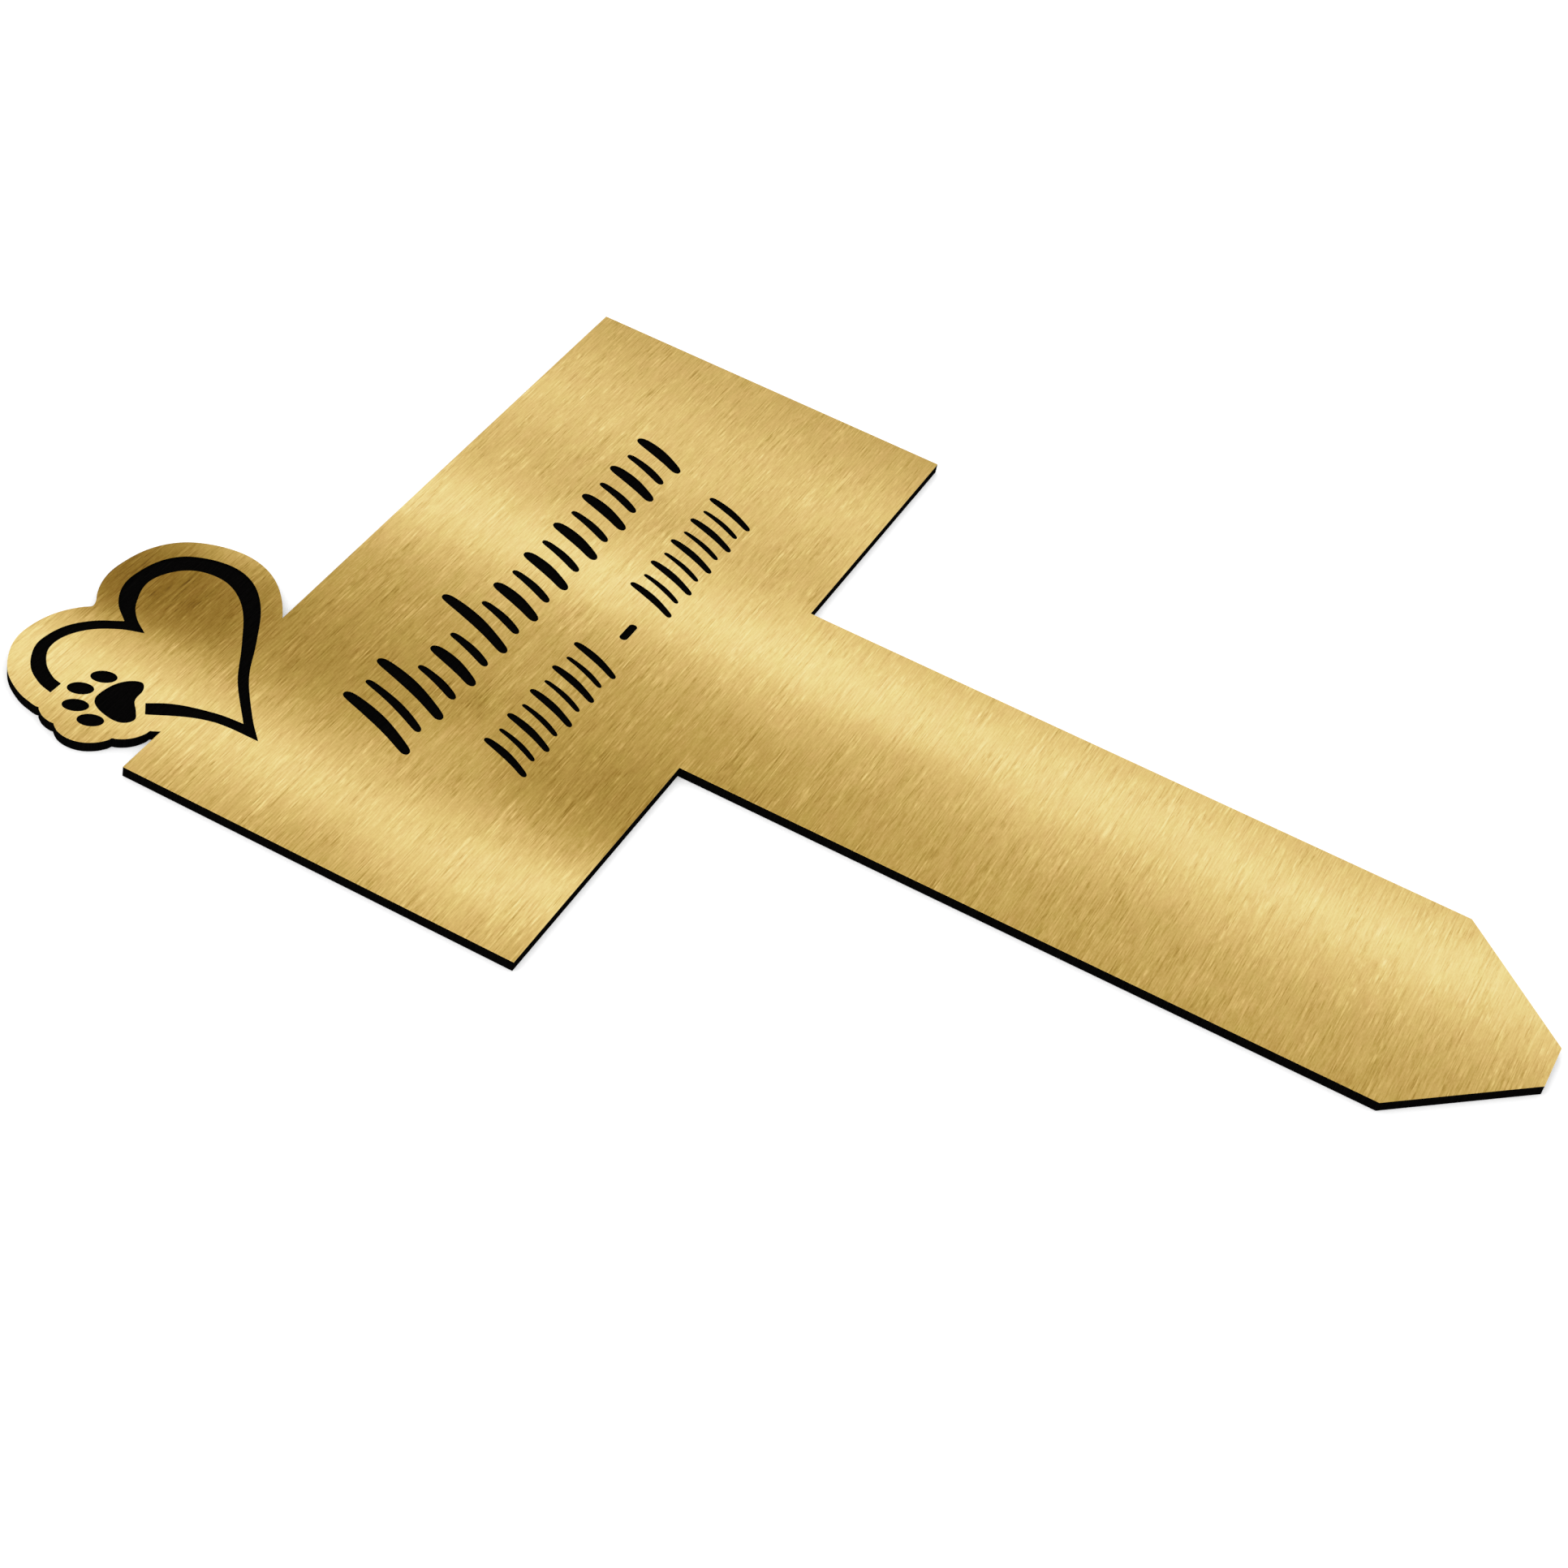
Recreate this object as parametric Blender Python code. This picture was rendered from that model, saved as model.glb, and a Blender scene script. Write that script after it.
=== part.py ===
"""A pet memorial stake, cut and engraved from one flat sheet.

The sheet is a two-ply laminate: a brushed gold face on a black core. It lies
on its back. X runs along the rows of the plate, Y from the blade's tip to the
plate's top edge, and Z out of the gold face. The origin is on the back, in
the middle of the plate's lower edge, where the blade leaves it.
"""
import math

import bmesh
import bpy
from mathutils import Vector

# The sheet, in metres
SHEET_THICKNESS = 0.002
ENGRAVED_DEPTH = 0.0004
CUTTER_OVERSHOOT = 0.001

# The plate that carries the writing
PLATE_WIDTH = 0.160
PLATE_HEIGHT = 0.072

# The blade that goes into the ground
BLADE_WIDTH = 0.050
BLADE_LENGTH = 0.148
BLADE_TAPER = 0.022
TIP_WIDTH = 0.010

# The heart at the plate's upper left corner, placed by its lower point
HEART_HEIGHT = 0.0416
HEART_FROM_LEFT = 0.0180
HEART_BELOW_TOP = 0.0136
HEAD_MARGIN_ACROSS = 0.0040
HEAD_MARGIN_UP = 0.0035

# The paw print in the gap of the heart's line, in hundredths of the heart's height
TOE_LENGTH = 10.5
TOE_WIDTH = 7.1
TOE_LEAN = math.radians(29)
TOE_CENTRES = ((-29.2, 57.6), (-25.6, 67.1), (-16.5, 71.2), (-5.5, 68.0))

# The two rows of strokes
NAME_MARGIN = 0.0302
NAME_HEIGHT = 0.0163
NAME_LOW_HEIGHT = 0.0109
NAME_WEIGHT = 0.0026
NAME_STROKES = 19
TALL_STROKES = (0, 1, 2, 6)
DATE_MARGIN = 0.0373
DATE_HEIGHT = 0.0101
DATE_WEIGHT = 0.0017
DATE_STROKES = 9
DATE_SPACE = 0.0163
DASH_LENGTH = 0.0048
DASH_WEIGHT = 0.0015
DASH_RISE = 0.0040
ROW_GAP = 0.0080
ROWS_ABOVE_MIDDLE = 0.0006
STROKE_LEAN = math.radians(22)
STROKE_TAPER = 0.7
STROKE_BOW = 0.045
HEAVY_BELLY = 0.60
LIGHT_BELLY = 0.42
LIGHT_SHARE = 0.7
LIGHT_REACH = 0.84

# Smoothness
RUN_STEPS = 4
TOE_SIDES = 20
ARC_STEP = math.radians(12)
STROKE_STEPS = 4
STROKE_END_STEPS = 3

# The edges of the heart's line, in hundredths of its height from its lower point
OUTER_LEFT_LOBE = ((-25.6, 78.8), (-23.8, 85.2), (-18.6, 93.0), (-9.9, 98.5), (-2.3, 100.0),
                   (9.7, 97.4), (19.4, 90.6), (26.8, 81.0))
OUTER_RIGHT_SIDE = ((26.8, 81.0), (33.8, 88.7), (42.9, 93.5), (52.5, 94.5),
                    (67.4, 90.9), (77.0, 82.7), (82.1, 67.1), (78.7, 54.3),
                    (67.4, 43.0), (48.2, 32.5), (29.0, 23.3), (9.7, 8.9), (0, 0))
OUTER_LOWER_LEFT = ((0, 0), (-0.8, 17.1), (-4.7, 28.4), (-13.8, 43.0))
INNER_LOWER_LEFT = ((-8.3, 46.6), (-3.2, 39.7), (0.4, 32.1), (4.0, 19.5), (5.0, 10.1))
INNER_RIGHT_SIDE = ((5.0, 10.1), (24.2, 25.5), (43.4, 36.3), (62.6, 48.8),
                    (71.5, 61.1), (71.5, 73.6), (64.9, 82.5), (52.5, 87.3),
                    (38.6, 83.5), (31.2, 78.0), (25.6, 70.4))
INNER_LEFT_LOBE = ((25.6, 70.4), (21.8, 79.1), (14.5, 88.2), (4.9, 93.8),
                   (-4.7, 94.5), (-12.8, 89.8), (-17.6, 83.2), (-18.9, 78.6))
PAD_EDGE = ((-15.5, 63.8), (-4.7, 61.3), (0.8, 55.0), (-2.3, 51.7), (-9.5, 50.7),
            (-14.3, 46.9), (-19.1, 44.4), (-23.4, 47.8), (-23.4, 55.0), (-20.3, 61.8))


def clear_scene():
    for found in list(bpy.data.objects):
        bpy.data.objects.remove(found, do_unlink=True)


def new_collection(name):
    collection = bpy.data.collections.new(name)
    bpy.context.scene.collection.children.link(collection)
    return collection


def new_material(name, colour, roughness, metallic):
    material = bpy.data.materials.new(name)
    material.use_nodes = True
    shader = material.node_tree.nodes["Principled BSDF"]
    shader.inputs["Base Color"].default_value = (*colour, 1.0)
    shader.inputs["Roughness"].default_value = roughness
    shader.inputs["Metallic"].default_value = metallic
    material.diffuse_color = (*colour, 1.0)
    return material


def smooth_run(keys, closed=False):
    """Points along a smooth curve through the keys, without the last key of an open run."""
    keys = [Vector(key) for key in keys]
    count = len(keys)
    points = []
    for index in range(count if closed else count - 1):
        start, end = keys[index], keys[(index + 1) % count]
        before = keys[index - 1] if closed or index else 2 * start - end
        after = keys[(index + 2) % count] if closed or index < count - 2 else 2 * end - start
        reach = (end - start).length
        leave = (end - before).normalized() * reach
        arrive = (after - start).normalized() * reach
        for step in range(RUN_STEPS):
            t = step / RUN_STEPS
            points.append(
                start * (2 * t**3 - 3 * t**2 + 1)
                + leave * (t**3 - 2 * t**2 + t)
                + end * (3 * t**2 - 2 * t**3)
                + arrive * (t**3 - t**2)
            )
    return points


def ellipse(centre, length, width, lean):
    """An ellipse whose long axis leans left of +Y."""
    points = []
    for side in range(TOE_SIDES):
        angle = math.tau * side / TOE_SIDES
        along, across = math.cos(angle) * length / 2, math.sin(angle) * width / 2
        points.append(Vector((
            centre[0] - along * math.sin(lean) - across * math.cos(lean),
            centre[1] + along * math.cos(lean) - across * math.sin(lean),
        )))
    return points


def signed_area(outline):
    pairs = zip(outline, outline[1:] + outline[:1])
    return sum(a.x * b.y - b.x * a.y for a, b in pairs) / 2


def distance_to_edge(point, outline):
    nearest = math.inf
    for a, b in zip(outline, outline[1:] + outline[:1]):
        share = (point - a).dot(b - a) / (b - a).length_squared
        nearest = min(nearest, (point - a - (b - a) * min(1.0, max(0.0, share))).length)
    return nearest


def grow(outline, across, up):
    """The outline moved out by one margin in X and another in Y, with round corners."""
    squeeze = up / across
    outline = [Vector((point.x, point.y / squeeze)) for point in outline]
    outline = outline if signed_area(outline) > 0 else outline[::-1]
    grown = []
    for index, corner in enumerate(outline):
        edge_in = corner - outline[index - 1]
        edge_out = outline[(index + 1) % len(outline)] - corner
        first = math.atan2(-edge_in.x, edge_in.y)
        turn = (math.atan2(-edge_out.x, edge_out.y) - first + math.pi) % math.tau - math.pi
        steps = math.floor(abs(turn) / ARC_STEP)
        reach = across if steps else across / math.cos(turn / 2)
        for step in range(steps + 1):
            angle = first + turn * (step / steps if steps else 0.5)
            grown.append(corner + reach * Vector((math.cos(angle), math.sin(angle))))
    kept = [point for point in grown if distance_to_edge(point, outline) > 0.999 * across]
    return [Vector((point.x, point.y * squeeze)) for point in kept]


def round_end(share):
    """Places along a stroke's round end, as shares of its length, with the widths there."""
    places = []
    for step in range(1, STROKE_END_STEPS):
        angle = math.pi / 2 * step / STROKE_END_STEPS
        places.append((share * (1 - math.cos(angle)), math.sin(angle)))
    return places


def dab(foot, reach, weight, belly, bow=STROKE_BOW, taper=STROKE_TAPER):
    """A slightly bowed stroke with round ends, widest at the belly's share of its length."""
    side = Vector((reach.y, -reach.x)).normalized()
    end_share = weight / 2 / reach.length
    start = round_end(end_share)
    middle = [(end_share + (1 - 2 * end_share) * step / STROKE_STEPS, 1.0)
              for step in range(STROKE_STEPS + 1)]
    finish = [(1 - t, width) for t, width in reversed(start)]
    skew = math.log(0.5) / math.log(belly)
    left, right = [], []
    for t, width in start + middle + finish:
        swell = taper + (1 - taper) * math.sin(math.pi * t**skew)
        centre = foot + reach * t + side * reach.length * bow * math.sin(math.pi * t)
        left.append(centre - side * width * swell * weight / 2)
        right.append(centre + side * width * swell * weight / 2)
    return [foot] + right + [foot + reach] + left[::-1]


def prism(name, outline, low, high, materials, collection):
    """A flat outline as a solid from low to high, with its upper face gold."""
    curve = bpy.data.curves.new(name, "CURVE")
    curve.dimensions = "2D"
    curve.fill_mode = "BOTH"
    curve.extrude = (high - low) / 2
    spline = curve.splines.new("POLY")
    spline.points.add(len(outline) - 1)
    for target, point in zip(spline.points, outline):
        target.co = (point[0], point[1], 0.0, 1.0)
    spline.use_cyclic_u = True
    drawn = bpy.data.objects.new(name + "_drawn", curve)
    drawn.location.z = (low + high) / 2
    collection.objects.link(drawn)
    bpy.context.view_layer.update()
    evaluated = drawn.evaluated_get(bpy.context.evaluated_depsgraph_get())
    mesh = bpy.data.meshes.new_from_object(evaluated)
    solid = bpy.data.objects.new(name, mesh)
    solid.matrix_world = drawn.matrix_world
    collection.objects.link(solid)
    bpy.data.objects.remove(drawn)
    bpy.data.curves.remove(curve)
    welded = bmesh.new()
    welded.from_mesh(mesh)
    bmesh.ops.remove_doubles(welded, verts=welded.verts, dist=1e-6)
    bmesh.ops.recalc_face_normals(welded, faces=welded.faces)
    welded.to_mesh(mesh)
    welded.free()
    mesh.materials.clear()
    for material in materials:
        mesh.materials.append(material)
    for face in mesh.polygons:
        face.material_index = 0 if face.normal.z > 0.5 and high <= SHEET_THICKNESS else 1
    return solid


def heart_place(keys):
    """Keys in hundredths of the heart's height, as points on the plate."""
    tip = Vector((HEART_FROM_LEFT - PLATE_WIDTH / 2, PLATE_HEIGHT - HEART_BELOW_TOP))
    return [tip + Vector(key) * HEART_HEIGHT / 100 for key in keys]


def heart_outer():
    return (smooth_run(heart_place(OUTER_LEFT_LOBE)) + smooth_run(heart_place(OUTER_RIGHT_SIDE))
            + smooth_run(heart_place(OUTER_LOWER_LEFT)) + heart_place(OUTER_LOWER_LEFT[-1:]))


def heart_inner():
    return (smooth_run(heart_place(INNER_LOWER_LEFT)) + smooth_run(heart_place(INNER_RIGHT_SIDE))
            + smooth_run(heart_place(INNER_LEFT_LOBE)) + heart_place(INNER_LEFT_LOBE[-1:]))


def paw_outlines():
    """The pad and the toes of the paw print."""
    share = HEART_HEIGHT / 100
    toes = [ellipse(centre, TOE_LENGTH * share, TOE_WIDTH * share, TOE_LEAN)
            for centre in heart_place(TOE_CENTRES)]
    return [smooth_run(heart_place(PAD_EDGE), closed=True)] + toes


def stake_outline():
    """The plate and the tapered blade below it."""
    right = [(TIP_WIDTH / 2, -BLADE_LENGTH), (BLADE_WIDTH / 2, BLADE_TAPER - BLADE_LENGTH),
             (BLADE_WIDTH / 2, 0.0), (PLATE_WIDTH / 2, 0.0), (PLATE_WIDTH / 2, PLATE_HEIGHT)]
    return right + [(-x, y) for x, y in reversed(right)]


def leaning(height):
    """The reach of a leaning stroke of that height."""
    return Vector((math.tan(STROKE_LEAN), 1.0)) * height


def row_stroke(foot, height, index, weight):
    """One stroke of a row: the even ones are heavy, and the odd ones light and a little shorter."""
    reach = leaning(height)
    if index % 2 == 0:
        return dab(foot, reach, weight, HEAVY_BELLY)
    light_foot = foot + reach * (1 - LIGHT_REACH) / 2
    return dab(light_foot, reach * LIGHT_REACH, weight * LIGHT_SHARE, LIGHT_BELLY)


def stroke_feet(left, right, base, count):
    """The lower ends of a row's strokes, evenly spaced."""
    return [Vector((left + (right - left) * index / (count - 1), base)) for index in range(count)]


def name_row():
    """Bold leaning strokes, every other one light, with a few tall ones in the first half."""
    lean_width = NAME_LOW_HEIGHT * math.tan(STROKE_LEAN)
    left = NAME_MARGIN - PLATE_WIDTH / 2
    right = PLATE_WIDTH / 2 - NAME_MARGIN - lean_width
    strokes = []
    for index, foot in enumerate(stroke_feet(left, right, name_base(), NAME_STROKES)):
        height = NAME_HEIGHT if index in TALL_STROKES else NAME_LOW_HEIGHT
        strokes.append(row_stroke(foot, height, index, NAME_WEIGHT))
    return strokes


def date_row():
    """Two groups of light leaning strokes with a level dash between them."""
    lean_width = DATE_HEIGHT * math.tan(STROKE_LEAN)
    outer = PLATE_WIDTH / 2 - DATE_MARGIN
    inner = DATE_SPACE / 2
    strokes = []
    for left, right in ((-outer, -inner - lean_width), (inner, outer - lean_width)):
        for index, foot in enumerate(stroke_feet(left, right, date_base(), DATE_STROKES)):
            strokes.append(row_stroke(foot, DATE_HEIGHT, index, DATE_WEIGHT))
    dash_foot = Vector((-DASH_LENGTH / 2, date_base() + DASH_RISE))
    strokes.append(dab(dash_foot, Vector((DASH_LENGTH, 0.0)), DASH_WEIGHT, 0.5, bow=0.0, taper=1.0))
    return strokes


def date_base():
    block = NAME_HEIGHT + ROW_GAP + DATE_HEIGHT
    return PLATE_HEIGHT / 2 + ROWS_ABOVE_MIDDLE - block / 2


def name_base():
    return date_base() + DATE_HEIGHT + ROW_GAP


def cut_with(target, collection, operation):
    boolean = target.modifiers.new(collection.name, "BOOLEAN")
    boolean.operation = operation
    boolean.operand_type = "COLLECTION"
    boolean.collection = collection
    boolean.solver = "EXACT"


def hide_guides(collection):
    for guide in collection.objects:
        guide.hide_render = True
        guide.display_type = "WIRE"


def main():
    clear_scene()
    stake_parts = new_collection("pet_memorial_stake")
    head_guides = new_collection("head_guides")
    cutters = new_collection("engraving_cutters")
    gold = new_material("brushed_gold_face", (0.69, 0.48, 0.165), 0.34, 1.0)
    black = new_material("black_core", (0.012, 0.012, 0.013), 0.45, 0.0)
    plies = (gold, black)

    stake = prism("memorial_stake", stake_outline(), 0.0, SHEET_THICKNESS, plies, stake_parts)

    for index, shape in enumerate([heart_outer()] + paw_outlines()):
        grown = grow(shape, HEAD_MARGIN_ACROSS, HEAD_MARGIN_UP)
        prism(f"head_{index}", grown, 0.0, SHEET_THICKNESS, plies, head_guides)

    floor = SHEET_THICKNESS - ENGRAVED_DEPTH
    top = SHEET_THICKNESS + CUTTER_OVERSHOOT
    engraved = [heart_outer() + heart_inner()] + paw_outlines() + name_row() + date_row()
    for index, shape in enumerate(engraved):
        prism(f"engraving_{index}", shape, floor, top, plies, cutters)

    cut_with(stake, head_guides, "UNION")
    cut_with(stake, cutters, "DIFFERENCE")

    hide_guides(head_guides)
    hide_guides(cutters)


main()
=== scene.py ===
"""Pet memorial stake, laser-cut from two-ply engraving sheet: a brushed gold face on a black core.

It lies on its back on pale studio paper, gold face up, with its blade towards the right of the picture.
"""
import math

import bpy
from mathutils import Matrix, Vector
from mathutils.geometry import tessellate_polygon


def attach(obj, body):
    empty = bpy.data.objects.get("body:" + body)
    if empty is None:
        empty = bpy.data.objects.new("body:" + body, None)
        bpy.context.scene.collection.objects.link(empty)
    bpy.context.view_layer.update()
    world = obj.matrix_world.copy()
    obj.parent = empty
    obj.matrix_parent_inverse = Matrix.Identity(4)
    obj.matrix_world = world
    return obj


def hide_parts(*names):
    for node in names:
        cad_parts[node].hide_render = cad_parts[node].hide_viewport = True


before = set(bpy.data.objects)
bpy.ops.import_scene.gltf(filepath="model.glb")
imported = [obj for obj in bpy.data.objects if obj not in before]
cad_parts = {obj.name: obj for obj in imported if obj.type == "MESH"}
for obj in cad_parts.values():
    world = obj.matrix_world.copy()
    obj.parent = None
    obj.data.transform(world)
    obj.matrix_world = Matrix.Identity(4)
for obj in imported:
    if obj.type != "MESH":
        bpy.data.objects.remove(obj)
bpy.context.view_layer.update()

MM = 0.001

# The sheet, in millimetres, measured up from its back.
SHEET_TOP = 2.0
ENGRAVED_FLOOR = 1.6
GOLD_PLY = 0.06

# How far its edges are broken, and how far a pocket's walls lean in, in millimetres.
EDGE_BREAK = 0.03
POCKET_BREAK = 0.021
BACK_BREAK = 0.06
WALL_DRAFT = 0.03

# How the cut lines are read off the gold face: how squarely up and how near the top, in metres, a face
# of it lies, and the shortest step between two points, in millimetres.
FACING_UP = 0.99
NEAR_TOP = 1e-5
SHORTEST_STEP = 0.05

# How the cut lines are smoothed. A turn over the first angle is a corner, and a step over the length, in
# millimetres, is straight. Curves are drawn in turns of no more than the second angle, and points nearer
# than the last length count as that far apart.
CORNER_TURN = math.radians(60.0)
STRAIGHT_RUN = 6.0
SMOOTH_TURN = math.radians(3.5)
SAME_POINT = 1e-6

# Where a line nearly doubles back on itself, it is moved square to its first side. Elsewhere a sharp corner
# moves further than its sides do, by one over the second share at most.
DOUBLED_BACK = 0.2
SHARPEST_SHARE = 0.45

# The width and height that the map of the brushing covers, in millimetres.
BRUSHING_SPAN = 400.0

# Golds of the brushed face, from deepest to palest, as 8-bit sRGB; the deep ones give the painted shade and
# the pale ones the painted highlight of the painted sheen.
GOLD_TONES = (
    (-0.30, (98, 66, 8)),
    (0.00, (138, 103, 29)),
    (0.20, (160, 126, 50)),
    (0.45, (190, 157, 79)),
    (0.70, (219, 186, 111)),
    (0.85, (233, 204, 129)),
    (1.00, (243, 222, 151)),
    (1.30, (254, 245, 190)),
)

# Lightness of the painted sheen, reflection bands painted into the gold's colour, across the plate:
# millimetres from the middle line, tone.
SHEEN_ACROSS = (
    (-84, 0.56),
    (-74, 0.74),
    (-66, 0.90),
    (-58, 0.80),
    (-48, 0.46),
    (-38, 0.31),
    (-24, 0.43),
    (-10, 0.55),
    (2, 0.80),
    (12, 0.96),
    (22, 0.80),
    (33, 0.68),
    (51, 0.80),
    (66, 0.70),
    (84, 0.52),
)
# How strongly the painted sheen's deep and pale bands show: millimetres above the ground line, strength.
DEEP_UP = ((-150, 0.85), (-60, 0.80), (2, 1.05), (36, 0.74), (66, 1.00), (90, 1.95), (110, 2.00))
PALE_UP = ((-150, 0.85), (-60, 0.80), (2, 1.05), (36, 0.88), (66, 1.00), (90, 1.15), (110, 1.15))
SHEEN_MIDDLE = 0.62
PALEST_SHEEN = 1.0
# How far the bands lean to the right up the stake: millimetres above the ground line, millimetres.
SHEEN_LEAN = ((-150, 1.0), (-80, 0.5), (-50, 2.0), (-18, 3.0), (6, 0.0), (60, 0.0), (95, -3.0))
FURTHEST_LEAN = 4.0
# Soft patches where the painted reflection bands turn paler or deeper: middle and reach in millimetres,
# change of tone.
SHEEN_PATCHES = (
    ((-24, 87), (10, 13), 0.26),
    ((-78, 42), (17, 24), -0.12),
    ((-43, 33), (12, 19), 0.13),
    ((8, 34), (12, 14), 0.07),
    ((44, 34), (10, 12), 0.06),
    ((0, -28), (9, 26), -0.07),
)
# How much paler the painted sheen is on the blade than on the plate: millimetres above the ground line
# where it is so in full and where it ends, change of tone.
PALER_BLADE = (-60, -10, 0.06)
# Slow wandering of the bands to either side, in metres, and their cloudiness, as a change of tone. The size
# of each is in metres along and across the brushing.
SHEEN_WANDER = 0.005
WANDER_SIZE = (0.09, 0.055, 1.0)
SHEEN_CLOUD = 0.05
CLOUD_SIZE = (0.035, 0.030, 1.0)

# The brush marks: length and width of a mark in metres, where in the grain it is taken from, strength.
BROAD_MARKS = (0.0044, 0.00075, (0.17, 0.13), 0.50)
BROKEN_LINES = (
    (0.0023, 0.00042, (0.0, 0.0), 0.75),
    (0.0018, 0.00025, (0.11, 0.07), 0.80),
    (0.0014, 0.00015, (0.23, 0.19), 0.60),
)
FINE_GRAIN = (0.0005, 0.00032, (0.29, 0.27), 0.45)
# The grain's size through the sheet, in metres, and how far most of it lies from its mean.
GRAIN_DEPTH = 0.01
GRAIN_REACH = 0.4
# A broken line is this many marks long, and each break is this many lines wide. Its strength goes from the
# lowest, in a break, to the highest.
LINE_STRETCH = 5
BREAK_SPREAD = 2.5
LINE_STRENGTH = (-0.4, 2.4)
# The clusters that the marks lie in, and how strong the marks are between clusters and within them.
CLUSTER_SIZE = (0.009, 0.0035)
CLUSTER_PLACE = (0.31, 0.05)
CLUSTER_STRENGTH = (0.65, 1.35)
# Deeper marks, with painted shade in the groove and a painted highlight on one lit side, and raised ones
# with a painted highlight, all of which also shape the bump: where in the grain they start and are in full.
DEEP_SIZE = (0.0048, 0.00026)
DEEP_PLACE = (0.37, 0.21)
LIT_SIDE_SHIFT = 0.00018
DEEP_FROM = (0.30, 0.62)
RAISED_FROM = (-0.36, -0.66)
GROOVE_PAINTED_SHADE = 0.9
GROOVE_PAINTED_HIGHLIGHT = 0.45
# How strongly all the marks change the gold's tone: the tone of the sheen, strength.
MARKS_ON_GOLD = ((0.70, 0.135), (1.0, 0.108))
# The gold's roughness, and how much the marks and smudges on it change that.
GOLD_ROUGHNESS = 0.34
MARKS_ON_ROUGHNESS = 0.05
SMUDGES_ON_ROUGHNESS = 0.04
# The clear lacquer over it: the hue that leaves a colour as it is, and how far the lacquer shifts that.
SAME_HUE = 0.5
LACQUER_HUE = 0.010
# How deep the pits of the engraved core are beside the laser's passes.
PITS_IN_CORE = 0.6

# The camera: the point that it looks at and its distance from it in metres, its direction and its own turn
# in degrees, and its lens in millimetres.
CAMERA_AIM = (-0.01775, -0.01604, 0.00205)
CAMERA_DISTANCE = 0.54452
CAMERA_AZIMUTH = 72.597
CAMERA_ELEVATION = 41.867
CAMERA_ROLL = 13.649
CAMERA_LENS = 75.202
CAMERA_SENSOR = 36.0

# The paper's half width, and how far it lies below the stake's back, in metres.
PAPER_HALF_WIDTH = 6.0
PAPER_BELOW = 0.00002
# Brightness of the studio round the stake: height, from 0 at the horizon to 1 overhead, and brightness.
STUDIO_BRIGHTNESS = ((0.0, 0.98), (0.35, 1.0), (1.0, 0.93))


def srgb(red, green, blue):
    """An 8-bit sRGB colour as the linear colour that a shader takes."""

    def linear(level):
        share = level / 255
        return share / 12.92 if share <= 0.04045 else ((share + 0.055) / 1.055) ** 2.4

    return (linear(red), linear(green), linear(blue), 1.0)


# Node helpers


def place(tree, kind, **settings):
    node = tree.nodes.new(kind)
    for name, value in settings.items():
        setattr(node, name, value)
    return node


def feed(tree, socket, source):
    """Joins a socket to another one, or sets its own value."""
    if isinstance(source, bpy.types.NodeSocket):
        tree.links.new(source, socket)
    else:
        socket.default_value = source


def work_out(tree, operation, *terms):
    node = place(tree, "ShaderNodeMath", operation=operation)
    for socket, term in zip(node.inputs, terms):
        feed(tree, socket, term)
    return node.outputs[0]


def work_out_vector(tree, operation, *terms):
    node = place(tree, "ShaderNodeVectorMath", operation=operation)
    for socket, term in zip(node.inputs, terms):
        feed(tree, socket, term)
    return node.outputs["Value" if operation == "LENGTH" else "Vector"]


def remap(tree, value, low, high, new_low, new_high, kind="LINEAR"):
    node = place(tree, "ShaderNodeMapRange", interpolation_type=kind)
    for socket, term in zip(node.inputs, (value, low, high, new_low, new_high)):
        feed(tree, socket, term)
    return node.outputs[0]


def ramp(tree, factor, stops, interpolation="LINEAR"):
    """A colour ramp; a stop's value is one number for grey, or a linear colour."""
    node = place(tree, "ShaderNodeValToRGB")
    band = node.color_ramp
    band.interpolation = interpolation
    while len(band.elements) < len(stops):
        band.elements.new(0.5)
    for element, (at, value) in zip(band.elements, stops):
        element.position = at
        element.color = value if isinstance(value, tuple) else (value, value, value, 1.0)
    feed(tree, node.inputs[0], factor)
    return node.outputs[0]


def along(stops):
    """Stops with their places given as shares of the way from the first to the last."""
    low, high = stops[0][0], stops[-1][0]
    return [((at - low) / (high - low), value) for at, value in stops]


def curve_at(tree, distance, stops, interpolation):
    """The value that a curve has at a distance in metres; its own stops lie in millimetres."""
    low, high = stops[0][0], stops[-1][0]
    share = remap(tree, distance, low * MM, high * MM, 0.0, 1.0)
    return ramp(tree, share, along(stops), interpolation)


def start_group(name, inputs, outputs):
    """A shader node group with named sockets: its tree, its input sockets and its output sockets."""
    tree = bpy.data.node_groups.new(name, "ShaderNodeTree")
    for label, kind, value in inputs:
        socket = tree.interface.new_socket(name=label, in_out="INPUT", socket_type=kind)
        if value is not None:
            socket.default_value = value
    for label, kind in outputs:
        tree.interface.new_socket(name=label, in_out="OUTPUT", socket_type=kind)
    entry = place(tree, "NodeGroupInput")
    leave = place(tree, "NodeGroupOutput")
    return tree, entry.outputs, leave.inputs


def use_group(tree, group, **values):
    """Places a group; a value's name has underscores for the spaces of its socket's name."""
    node = place(tree, "ShaderNodeGroup", node_tree=group)
    for name, value in values.items():
        feed(tree, node.inputs[name.replace("_", " ")], value)
    return node.outputs


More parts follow.
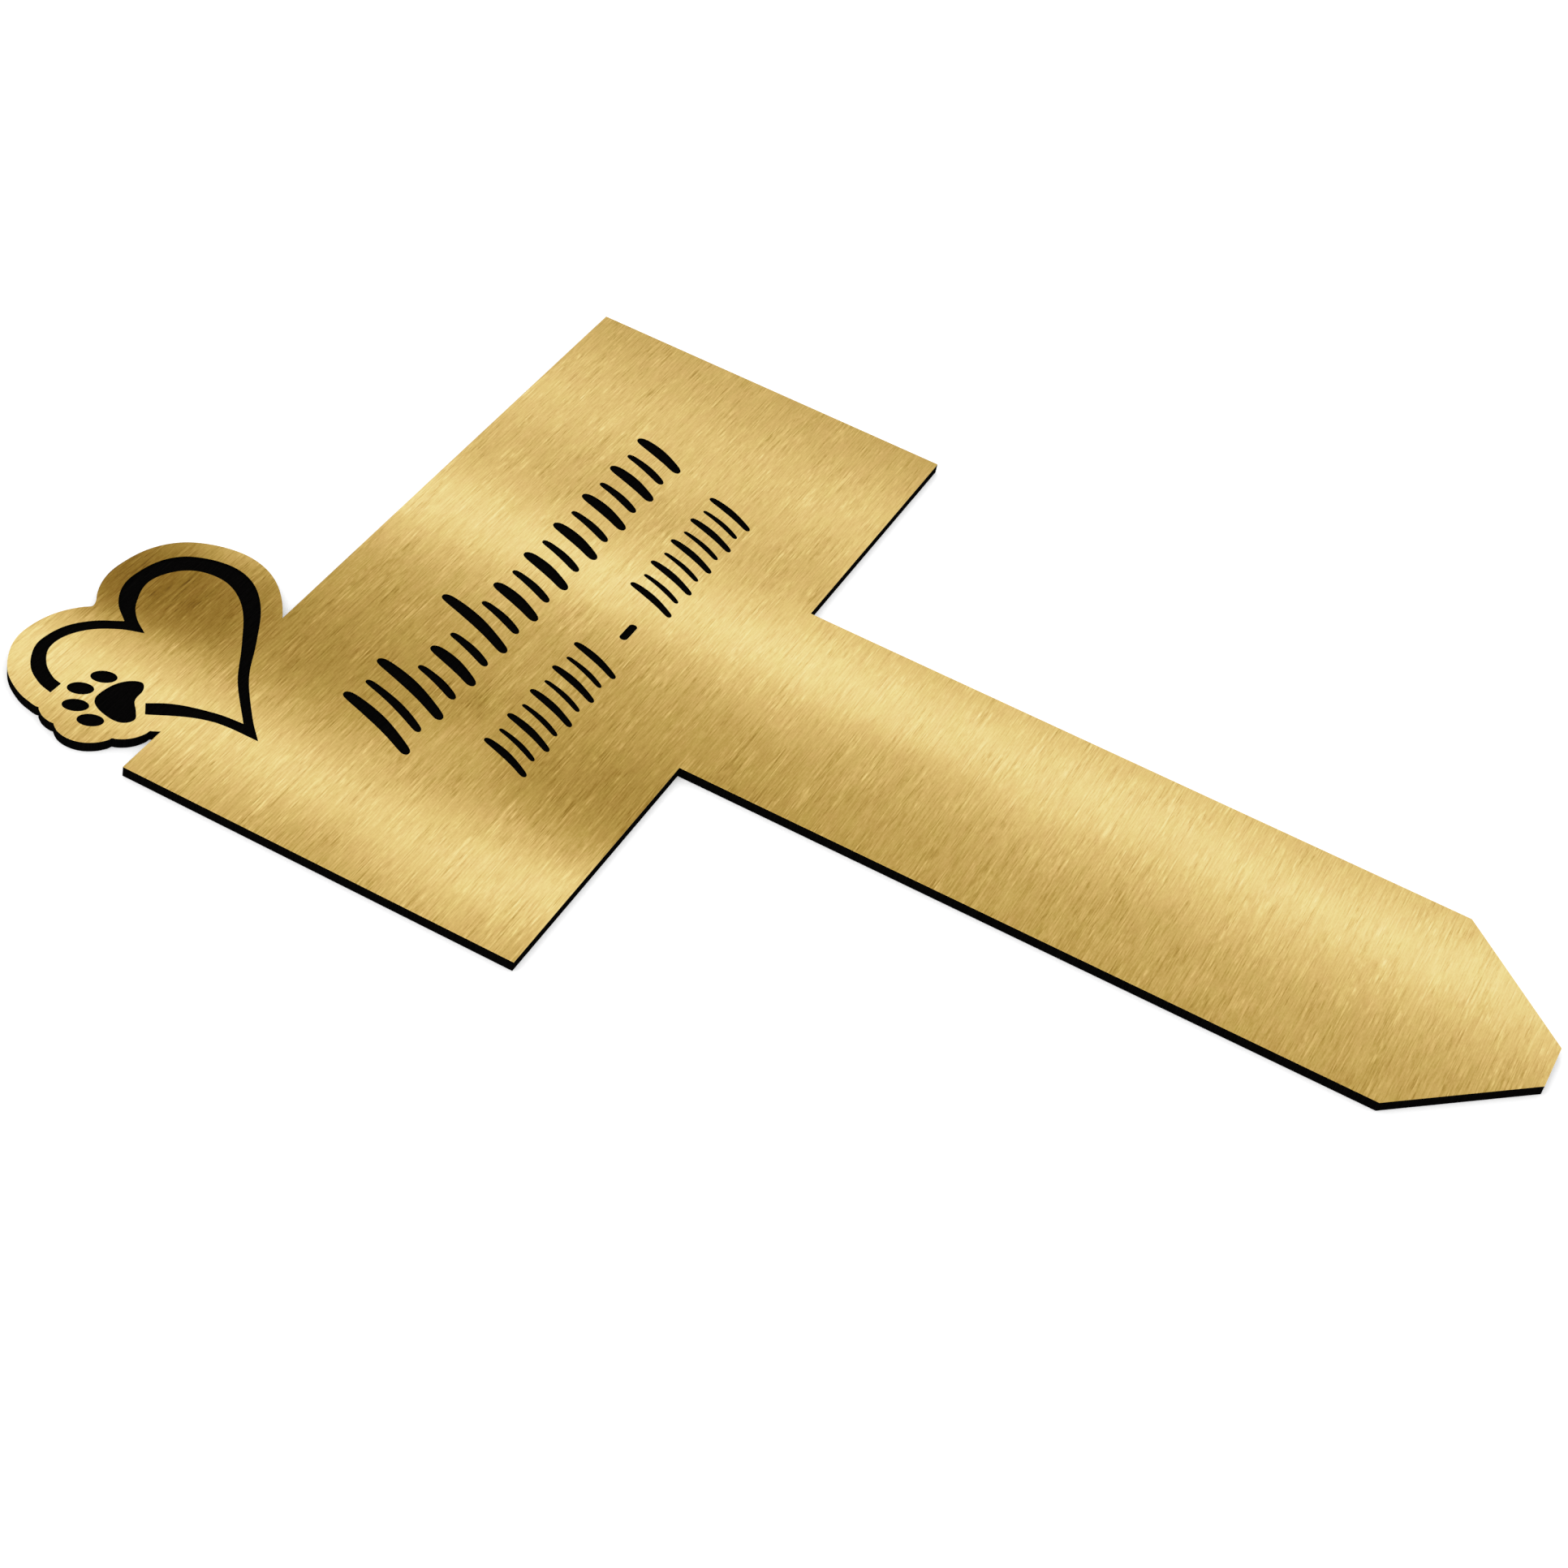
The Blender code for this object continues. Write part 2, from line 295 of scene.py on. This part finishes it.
def drawn_grain():
    """Fine grain drawn out by a length along each axis, from -1 to 1 about a mean of 0."""
    tree, given, out = start_group(
        "drawn_grain",
        [
            ("Vector", "NodeSocketVector", None),
            ("Grain Size", "NodeSocketVector", (0.001, 0.001, 0.001)),
            ("Octaves", "NodeSocketFloat", 2.0),
            ("Roughness", "NodeSocketFloat", 0.5),
        ],
        [("Grain", "NodeSocketFloat")],
    )
    scaled = work_out_vector(tree, "DIVIDE", given["Vector"], given["Grain Size"])
    noise = place(tree, "ShaderNodeTexNoise", noise_dimensions="3D", normalize=True)
    feed(tree, noise.inputs["Vector"], scaled)
    noise.inputs["Scale"].default_value = 1.0
    feed(tree, noise.inputs["Detail"], given["Octaves"])
    feed(tree, noise.inputs["Roughness"], given["Roughness"])
    feed(tree, out["Grain"], remap(tree, noise.outputs[0], 0.0, 1.0, -1.0, 1.0))
    return tree


def grain_at(tree, grain, spot, size, octaves, roughness):
    """The drawn grain at a spot, in grains of that size in metres."""
    placed = use_group(
        tree, grain, Vector=spot, Grain_Size=size, Octaves=octaves, Roughness=roughness
    )
    return placed["Grain"]


def brushed_streaks(grain):
    """Straight parallel brush marks along X in loose clusters, with a few deeper ones given painted shade
    in the groove and a painted highlight on one side.
    """
    tree, given, out = start_group(
        "brushed_streaks",
        [("Vector", "NodeSocketVector", None)],
        [("Streaks", "NodeSocketFloat")],
    )

    def layer(length, width, shift):
        moved = work_out_vector(tree, "ADD", given["Vector"], (*shift, 0.0))
        return grain_at(tree, grain, moved, (length, width, GRAIN_DEPTH), octaves=0.0, roughness=0.5)

    def broken_line(length, width, shift):
        """Very long thin lines, each broken along its run into marks of about that length."""
        lines = layer(length * LINE_STRETCH, width, shift)
        breaks = layer(length, width * BREAK_SPREAD, shift[::-1])
        whole = remap(tree, breaks, -GRAIN_REACH, GRAIN_REACH, *LINE_STRENGTH)
        return work_out(tree, "MULTIPLY", lines, whole)

    *size_and_place, strength = BROAD_MARKS
    marks = work_out(tree, "MULTIPLY", layer(*size_and_place), strength)
    for *size_and_place, strength in BROKEN_LINES:
        marks = work_out(tree, "MULTIPLY_ADD", broken_line(*size_and_place), strength, marks)
    clusters = layer(*CLUSTER_SIZE, CLUSTER_PLACE)
    clusters = remap(tree, clusters, -GRAIN_REACH, GRAIN_REACH, *CLUSTER_STRENGTH)
    marks = work_out(tree, "MULTIPLY", marks, clusters)
    *size_and_place, strength = FINE_GRAIN
    marks = work_out(tree, "MULTIPLY_ADD", layer(*size_and_place), strength, marks)

    # Painted shade in the deeper grooves and painted highlights on their lit sides and on raised marks; the
    # same values also shape the bump.
    groove = layer(*DEEP_SIZE, DEEP_PLACE)
    beside = layer(*DEEP_SIZE, (DEEP_PLACE[0], DEEP_PLACE[1] + LIT_SIDE_SHIFT))
    dark = remap(tree, groove, *DEEP_FROM, 0.0, GROOVE_PAINTED_SHADE)
    painted_lit_side = remap(tree, beside, *DEEP_FROM, 0.0, GROOVE_PAINTED_HIGHLIGHT)
    raised_and_painted_lit = remap(tree, groove, *RAISED_FROM, 0.0, GROOVE_PAINTED_HIGHLIGHT)
    deep = work_out(tree, "SUBTRACT", work_out(tree, "ADD", raised_and_painted_lit, painted_lit_side), dark)
    feed(tree, out["Streaks"], work_out(tree, "ADD", marks, deep))
    return tree


def soft_patch(tree, spot, middle, reach, change):
    """A change that is full in the middle of a patch and fades out towards its reach."""
    away = work_out_vector(tree, "SUBTRACT", spot, (middle[0] * MM, middle[1] * MM, 0.0))
    away = work_out_vector(tree, "DIVIDE", away, (reach[0] * MM, reach[1] * MM, 1.0))
    far = work_out_vector(tree, "LENGTH", away)
    return remap(tree, far, 0.0, 1.0, change, 0.0, "SMOOTHSTEP")


def painted_sheen_bands(grain):
    """Painted reflection: soft light and dark sheen bands that lie across the brushing, painted into the
    colour as a tone from 0, deep, to 1, pale.
    """
    tree, given, out = start_group(
        "painted_sheen_bands", [("Vector", "NodeSocketVector", None)], [("Tone", "NodeSocketFloat")]
    )
    parted = place(tree, "ShaderNodeSeparateXYZ")
    feed(tree, parted.inputs[0], given["Vector"])
    across, up = parted.outputs[0], parted.outputs[1]

    furthest = FURTHEST_LEAN * MM
    leans = [(at, 0.5 + lean / FURTHEST_LEAN / 2) for at, lean in SHEEN_LEAN]
    lean = remap(tree, curve_at(tree, up, leans, "EASE"), 0.0, 1.0, -furthest, furthest)
    across = work_out(tree, "SUBTRACT", across, lean)
    wander = grain_at(tree, grain, given["Vector"], WANDER_SIZE, octaves=1.0, roughness=0.4)
    across = work_out(tree, "ADD", across, work_out(tree, "MULTIPLY", wander, SHEEN_WANDER))

    def strength(stops):
        strongest = max(value for _, value in stops)
        shares = [(at, value / strongest) for at, value in stops]
        return work_out(tree, "MULTIPLY", curve_at(tree, up, shares, "EASE"), strongest)

    # The sheen is painted reflection: its light and dark bands are laid into the gold's colour as a tone.
    tone = curve_at(tree, across, SHEEN_ACROSS, "CARDINAL")
    tone = work_out(tree, "SUBTRACT", tone, SHEEN_MIDDLE)
    deep = work_out(tree, "MULTIPLY", work_out(tree, "MINIMUM", tone, 0.0), strength(DEEP_UP))
    pale = work_out(tree, "MULTIPLY", work_out(tree, "MAXIMUM", tone, 0.0), strength(PALE_UP))
    tone = work_out(tree, "ADD", work_out(tree, "ADD", deep, pale), SHEEN_MIDDLE)
    for middle, reach, change in SHEEN_PATCHES:
        patch = soft_patch(tree, given["Vector"], middle, reach, change)
        tone = work_out(tree, "ADD", tone, patch)
    full, end, change = PALER_BLADE
    paler = remap(tree, up, full * MM, end * MM, change, 0.0, "SMOOTHSTEP")
    tone = work_out(tree, "ADD", tone, paler)
    cloud = grain_at(tree, grain, given["Vector"], CLOUD_SIZE, octaves=1.0, roughness=0.5)
    tone = work_out(tree, "MULTIPLY_ADD", cloud, SHEEN_CLOUD, tone)
    feed(tree, out["Tone"], work_out(tree, "MINIMUM", tone, PALEST_SHEEN))
    return tree


# Finishes


def start_finish(name, **constants):
    """A material with its Principled shader, and the object's own coordinates in metres."""
    material = bpy.data.materials.new(name)
    material.use_nodes = True
    tree = material.node_tree
    tree.nodes.clear()
    shader = place(tree, "ShaderNodeBsdfPrincipled")
    result = place(tree, "ShaderNodeOutputMaterial")
    tree.links.new(shader.outputs[0], result.inputs[0])
    for socket, value in constants.items():
        shader.inputs[socket.replace("_", " ")].default_value = value
    spot = place(tree, "ShaderNodeTexCoord").outputs["Object"]
    return material, tree, shader, spot


def bumped(tree, shader, height, depth):
    """Raises the surface by the height, from -1 to 1, times a depth in metres."""
    bump = place(tree, "ShaderNodeBump")
    bump.inputs["Strength"].default_value = 1.0
    bump.inputs["Distance"].default_value = depth
    feed(tree, bump.inputs["Height"], height)
    tree.links.new(bump.outputs[0], shader.inputs["Normal"])


def shaded(tree, shader, amount, darkest, lightest, reach):
    """Colours the surface from darkest to lightest as the amount goes from -reach to reach."""
    share = remap(tree, amount, -reach, reach, 0.0, 1.0)
    colour = ramp(tree, share, [(0.0, (*darkest, 1.0)), (1.0, (*lightest, 1.0))])
    feed(tree, shader.inputs["Base Color"], colour)


def roughened(tree, shader, amount, change, middle):
    """Roughness about a middle value, changed by an amount from -1 to 1 times the change."""
    rough = work_out(tree, "MULTIPLY_ADD", amount, change, middle)
    feed(tree, shader.inputs["Roughness"], rough)


def brushed_gold(grain, streaks, bands):
    material, tree, shader, spot = start_finish("brushed_gold_face", Metallic=1.0, Anisotropic=0.5)
    marks = use_group(tree, streaks, Vector=spot)["Streaks"]
    # The painted sheen: reflection bands painted into the base colour, with the brush marks laid over them.
    tone = use_group(tree, bands, Vector=spot)["Tone"]
    (deep, deep_strength), (pale, pale_strength) = MARKS_ON_GOLD
    strength = remap(tree, tone, deep, pale, deep_strength, pale_strength)
    tone = work_out(tree, "MULTIPLY_ADD", marks, strength, tone)
    deepest, palest = GOLD_TONES[0][0], GOLD_TONES[-1][0]
    golds = [(at, srgb(*value)) for at, value in along(GOLD_TONES)]
    colour = ramp(tree, remap(tree, tone, deepest, palest, 0.0, 1.0), golds)
    lacquer = grain_at(tree, grain, spot, (0.0070, 0.0040, 1.0), octaves=3.0, roughness=0.65)
    tint = place(tree, "ShaderNodeHueSaturation")
    feed(tree, tint.inputs["Hue"], work_out(tree, "MULTIPLY_ADD", lacquer, LACQUER_HUE, SAME_HUE))
    feed(tree, tint.inputs["Color"], colour)
    feed(tree, shader.inputs["Base Color"], tint.outputs[0])
    smudge = grain_at(tree, grain, spot, (0.02, 0.02, 1.0), octaves=3.0, roughness=0.55)
    brushed = work_out(tree, "MULTIPLY_ADD", marks, MARKS_ON_ROUGHNESS, GOLD_ROUGHNESS)
    roughened(tree, shader, smudge, change=SMUDGES_ON_ROUGHNESS, middle=brushed)
    bumped(tree, shader, marks, depth=0.000006)
    direction = place(tree, "ShaderNodeTangent", direction_type="UV_MAP", uv_map="brushing")
    tree.links.new(direction.outputs[0], shader.inputs["Tangent"])
    return material


def laser_cut_edge(grain):
    material, tree, shader, spot = start_finish("laser_cut_black_edge", Specular_IOR_Level=0.0)
    cuts = grain_at(tree, grain, spot, (0.00016, 0.00016, 0.006), octaves=2.0, roughness=0.6)
    darkest, lightest = (0.0004, 0.0004, 0.0004), (0.0034, 0.0031, 0.0030)
    shaded(tree, shader, cuts, darkest, lightest, reach=0.5)
    roughened(tree, shader, cuts, change=0.10, middle=0.72)
    bumped(tree, shader, cuts, depth=0.00002)
    return material


def engraved_core(grain):
    material, tree, shader, spot = start_finish("engraved_black_core", Specular_IOR_Level=0.0)
    passes = grain_at(tree, grain, spot, (0.004, 0.00014, 0.01), octaves=1.0, roughness=0.5)
    pits = grain_at(tree, grain, spot, (0.00035, 0.00035, 0.01), octaves=2.0, roughness=0.6)
    height = work_out(tree, "ADD", passes, work_out(tree, "MULTIPLY", pits, PITS_IN_CORE))
    darkest, lightest = (0.0005, 0.0005, 0.0005), (0.0036, 0.0032, 0.0030)
    shaded(tree, shader, height, darkest, lightest, reach=0.8)
    roughened(tree, shader, height, change=0.08, middle=0.78)
    bumped(tree, shader, height, depth=0.00002)
    return material


def satin_back(grain):
    material, tree, shader, spot = start_finish("satin_black_back", Specular_IOR_Level=0.30)
    peel = grain_at(tree, grain, spot, (0.0009, 0.0009, 0.01), octaves=3.0, roughness=0.6)
    handling = grain_at(tree, grain, spot, (0.03, 0.03, 1.0), octaves=4.0, roughness=0.6)
    darkest, lightest = (0.006, 0.006, 0.0063), (0.011, 0.011, 0.0112)
    shaded(tree, shader, handling, darkest, lightest, reach=0.6)
    roughened(tree, shader, handling, change=0.08, middle=0.46)
    bumped(tree, shader, peel, depth=0.00001)
    return material


# The cut lines of the sheet


def signed_area(points):
    pairs = zip(points, points[1:] + points[:1])
    return sum(a.x * b.y - a.y * b.x for a, b in pairs) / 2


def face_loops(mesh):
    """The closed lines round the gold face: the outline of the stake, then each engraved shape."""
    height = max(v.co.z for v in mesh.vertices)
    corners = {}

    def corner(index):
        co = mesh.vertices[index].co
        key = (round(co.x / MM, 3), round(co.y / MM, 3))
        corners[key] = Vector((co.x / MM, co.y / MM))
        return key

    steps = set()
    for face in mesh.polygons:
        if face.normal.z > FACING_UP and abs(face.center.z - height) < NEAR_TOP:
            keys = [corner(v) for v in face.vertices]
            steps.update(zip(keys, keys[1:] + keys[:1]))
    onward = {a: b for a, b in sorted(steps) if (b, a) not in steps}
    loops = []
    while onward:
        start = next(iter(onward))
        run = [start]
        while onward[run[-1]] != start:
            run.append(onward[run[-1]])
        for key in run:
            del onward[key]
        points = [corners[key] for key in run]
        pairs = zip(points, points[-1:] + points[:-1])
        loops.append([at for at, before in pairs if (at - before).length > SHORTEST_STEP])
    loops.sort(key=lambda points: -abs(signed_area(points)))
    return loops


def turn(before, at, after):
    """The angle by which a line changes direction at a point."""
    first, second = at - before, after - at
    return abs(math.atan2(first.x * second.y - first.y * second.x, first.dot(second)))


def curve_through(p0, p1, p2, p3, share):
    """The point at a share of the way from p1 to p2, on a smooth curve that also heads for p0 and p3."""
    t0 = 0.0
    t1 = t0 + max((p1 - p0).length, SAME_POINT) ** 0.5
    t2 = t1 + max((p2 - p1).length, SAME_POINT) ** 0.5
    t3 = t2 + max((p3 - p2).length, SAME_POINT) ** 0.5
    t = t1 + (t2 - t1) * share
    a1 = p0.lerp(p1, (t - t0) / (t1 - t0))
    a2 = p1.lerp(p2, (t - t1) / (t2 - t1))
    a3 = p2.lerp(p3, (t - t2) / (t3 - t2))
    b1 = a1.lerp(a2, (t - t0) / (t2 - t0))
    b2 = a2.lerp(a3, (t - t1) / (t3 - t1))
    return b1.lerp(b2, (t - t1) / (t2 - t1))


def smooth_loop(points):
    """The same closed line with its curves drawn finely; corners and straight runs stay as they are."""
    count = len(points)
    turns = [turn(points[i - 1], points[i], points[(i + 1) % count]) for i in range(count)]
    straight = [(points[(i + 1) % count] - points[i]).length > STRAIGHT_RUN for i in range(count)]
    sharp = [turns[i] > CORNER_TURN or straight[i] or straight[i - 1] for i in range(count)]
    drawn = []
    for i in range(count):
        following = (i + 1) % count
        here, ahead = points[i], points[following]
        drawn.append(here)
        if straight[i]:
            continue
        behind, beyond = points[i - 1], points[(i + 2) % count]
        if sharp[i]:
            behind = here + here - ahead
        if sharp[following]:
            beyond = ahead + ahead - here
        bend = max(0.0 if sharp[k] else turns[k] for k in (i, following))
        steps = max(1, math.ceil(bend / SMOOTH_TURN))
        shares = [k / steps for k in range(1, steps)]
        drawn.extend(curve_through(behind, here, ahead, beyond, share) for share in shares)
    return held_within(drawn, points)


def held_within(drawn, points):
    """The drawn line, kept from bulging past the furthest reach of the cut points on any side."""
    left, right = min(p.x for p in points), max(p.x for p in points)
    bottom, top = min(p.y for p in points), max(p.y for p in points)
    return [Vector((min(max(p.x, left), right), min(max(p.y, bottom), top))) for p in drawn]


def inset(points, amount):
    """The closed line moved to its left, which is inwards on a line that runs anticlockwise."""
    moved = []
    for before, at, after in zip(points[-1:] + points[:-1], points, points[1:] + points[:1]):
        first = (at - before).normalized()
        second = (after - at).normalized()
        left = Vector((-first.y - second.y, first.x + second.x))
        if left.length < DOUBLED_BACK:
            left = Vector((-first.y, first.x))
        left.normalize()
        share = max(SHARPEST_SHARE, left.dot(Vector((-first.y, first.x))))
        moved.append(at + left * (amount / share))
    return moved


# The stake


class SheetMesh:
    """Collects the stake's points and faces, in millimetres."""

    def __init__(self):
        self.points = []
        self.faces = []
        self.finishes = []

    def ring(self, line, height):
        first = len(self.points)
        self.points.extend((p.x, p.y, height) for p in line)
        return list(range(first, len(self.points)))

    def wall(self, upper, lower, finish):
        """Faces between two rings, which look outwards where the rings run anticlockwise from above."""
        count = len(upper)
        for i in range(count):
            j = (i + 1) % count
            self.faces.append((upper[i], lower[i], lower[j], upper[j]))
            self.finishes.append(finish)

    def walls(self, levels):
        """A wall from each level's line down to the next one's, in the finish named at its upper level."""
        rings = [self.ring(line, height) for line, height, _ in levels]
        for (_, _, finish), upper, lower in zip(levels, rings, rings[1:]):
            self.wall(upper, lower, finish)
        return rings[0], rings[-1]

    def lid(self, rings, facing_up, finish):
        """A flat face inside the first ring, with the other rings as holes in it."""
        flat = [index for ring in rings for index in ring]
        outlines = [[Vector((*self.points[i][:2], 0.0)) for i in ring] for ring in rings]
        for a, b, c in tessellate_polygon(outlines):
            a, b, c = flat[a], flat[b], flat[c]
            pa, pb, pc = (Vector(self.points[i][:2]) for i in (a, b, c))
            up = (pb - pa).cross(pc - pa) > 0
            self.faces.append((a, b, c) if up == facing_up else (a, c, b))
            self.finishes.append(finish)

    def build(self, name):
        """The mesh as an object, with a map whose first direction runs along the brushing."""
        mesh = bpy.data.meshes.new(name)
        mesh.from_pydata([tuple(c * MM for c in p) for p in self.points], [], self.faces)
        mesh.polygons.foreach_set("material_index", self.finishes)
        brushing = mesh.uv_layers.new(name="brushing")
        for loop, corner in zip(mesh.loops, brushing.data):
            x, y, _ = self.points[loop.vertex_index]
            corner.uv = (x / BRUSHING_SPAN + 0.5, y / BRUSHING_SPAN + 0.5)
        mesh.update()
        piece = bpy.data.objects.new(name, mesh)
        bpy.context.scene.collection.objects.link(piece)
        return piece


# The order of the stake's finishes
GOLD, EDGE, ENGRAVED, BACK = range(4)


def make_stake(node):
    """The stake, its outline running anticlockwise and its engraved pockets clockwise."""
    outline, *engraved = [smooth_loop(points) for points in face_loops(node.data)]
    if signed_area(outline) < 0:
        outline.reverse()
    sheet = SheetMesh()
    rim, foot = sheet.walls(
        [
            (inset(outline, EDGE_BREAK), SHEET_TOP, GOLD),
            (outline, SHEET_TOP - EDGE_BREAK, GOLD),
            (outline, SHEET_TOP - GOLD_PLY, EDGE),
            (outline, BACK_BREAK, EDGE),
            (inset(outline, BACK_BREAK), 0.0, None),
        ]
    )
    sheet.lid([foot], False, BACK)
    rims = [rim]
    for shape in engraved:
        if signed_area(shape) > 0:
            shape.reverse()
        rim, floor = sheet.walls(
            [
                (inset(shape, POCKET_BREAK), SHEET_TOP, GOLD),
                (shape, SHEET_TOP - POCKET_BREAK, GOLD),
                (shape, SHEET_TOP - GOLD_PLY, ENGRAVED),
                (inset(shape, -WALL_DRAFT), ENGRAVED_FLOOR, None),
            ]
        )
        sheet.lid([floor], True, ENGRAVED)
        rims.append(rim)
    sheet.lid(rims, True, GOLD)
    return sheet.build("engraved_stake")


def dress_stake():
    stake = make_stake(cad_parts["memorial_stake"])
    grain = drawn_grain()
    for finish in (
        brushed_gold(grain, brushed_streaks(grain), painted_sheen_bands(grain)),
        laser_cut_edge(grain),
        engraved_core(grain),
        satin_back(grain),
    ):
        stake.data.materials.append(finish)
    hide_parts("memorial_stake")
    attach(stake, "root")


# The studio


def set_camera():
    """A long lens that looks down at the plate from its left, turned a little about its own axis."""
    azimuth = math.radians(CAMERA_AZIMUTH)
    elevation = math.radians(CAMERA_ELEVATION)
    roll = math.radians(CAMERA_ROLL)
    forward = Vector(
        (
            math.sin(azimuth) * math.cos(elevation),
            math.cos(azimuth) * math.cos(elevation),
            -math.sin(elevation),
        )
    )
    level = forward.cross(Vector((0, 0, 1))).normalized()
    upright = level.cross(forward)
    right = level * math.cos(roll) + upright * math.sin(roll)
    up = right.cross(forward)
    data = bpy.data.cameras.new("studio_camera")
    data.lens = CAMERA_LENS
    data.sensor_width = CAMERA_SENSOR
    data.clip_start = 0.01
    data.clip_end = 20.0
    camera = bpy.data.objects.new("studio_camera", data)
    turned = Matrix((right, up, -forward)).transposed().to_4x4()
    stand = Vector(CAMERA_AIM) - forward * CAMERA_DISTANCE
    camera.matrix_world = Matrix.Translation(stand) @ turned
    bpy.context.scene.collection.objects.link(camera)
    bpy.context.scene.camera = camera


def pale_paper():
    """White paper that glows a little, so that the stake's shadow on it stays faint."""
    return start_finish(
        "pale_studio_paper",
        Specular_IOR_Level=0.1,
        Roughness=0.9,
        Base_Color=(0.96, 0.96, 0.96, 1.0),
        Emission_Color=(1.0, 1.0, 1.0, 1.0),
        Emission_Strength=0.22,
    )[0]


def lay_paper():
    mesh = bpy.data.meshes.new("studio_floor")
    half = PAPER_HALF_WIDTH
    corners = [(-half, -half, 0), (half, -half, 0), (half, half, 0), (-half, half, 0)]
    mesh.from_pydata(corners, [], [(0, 1, 2, 3)])
    mesh.materials.append(pale_paper())
    paper = bpy.data.objects.new("studio_floor", mesh)
    paper.location.z = -PAPER_BELOW
    bpy.context.scene.collection.objects.link(paper)


def soft_light(name, azimuth, elevation, distance, size, power):
    """A square softbox that faces the plate, placed by its direction in degrees."""
    data = bpy.data.lights.new(name, "AREA")
    data.shape = "SQUARE"
    data.size = size
    data.energy = power
    light = bpy.data.objects.new(name, data)
    a, e = math.radians(azimuth), math.radians(elevation)
    away = Vector((math.sin(a) * math.cos(e), math.cos(a) * math.cos(e), math.sin(e)))
    light.location = away * distance
    light.rotation_euler = away.to_track_quat("Z", "Y").to_euler()
    bpy.context.scene.collection.objects.link(light)


def light_studio():
    world = bpy.data.worlds.new("soft_studio")
    bpy.context.scene.world = world
    world.use_nodes = True
    tree = world.node_tree
    tree.nodes.clear()
    backdrop = place(tree, "ShaderNodeBackground")
    result = place(tree, "ShaderNodeOutputWorld")
    tree.links.new(backdrop.outputs[0], result.inputs[0])
    parted = place(tree, "ShaderNodeSeparateXYZ")
    feed(tree, parted.inputs[0], place(tree, "ShaderNodeTexCoord").outputs["Generated"])
    brightness = ramp(tree, parted.outputs[2], STUDIO_BRIGHTNESS, "EASE")
    feed(tree, backdrop.inputs["Color"], brightness)
    backdrop.inputs["Strength"].default_value = 1.0
    soft_light("softbox_above", azimuth=-60.0, elevation=58.0, distance=1.6, size=0.9, power=4.0)


bpy.context.scene.view_settings.view_transform = "Standard"
set_camera()
lay_paper()
light_studio()
dress_stake()
bpy.context.view_layer.update()
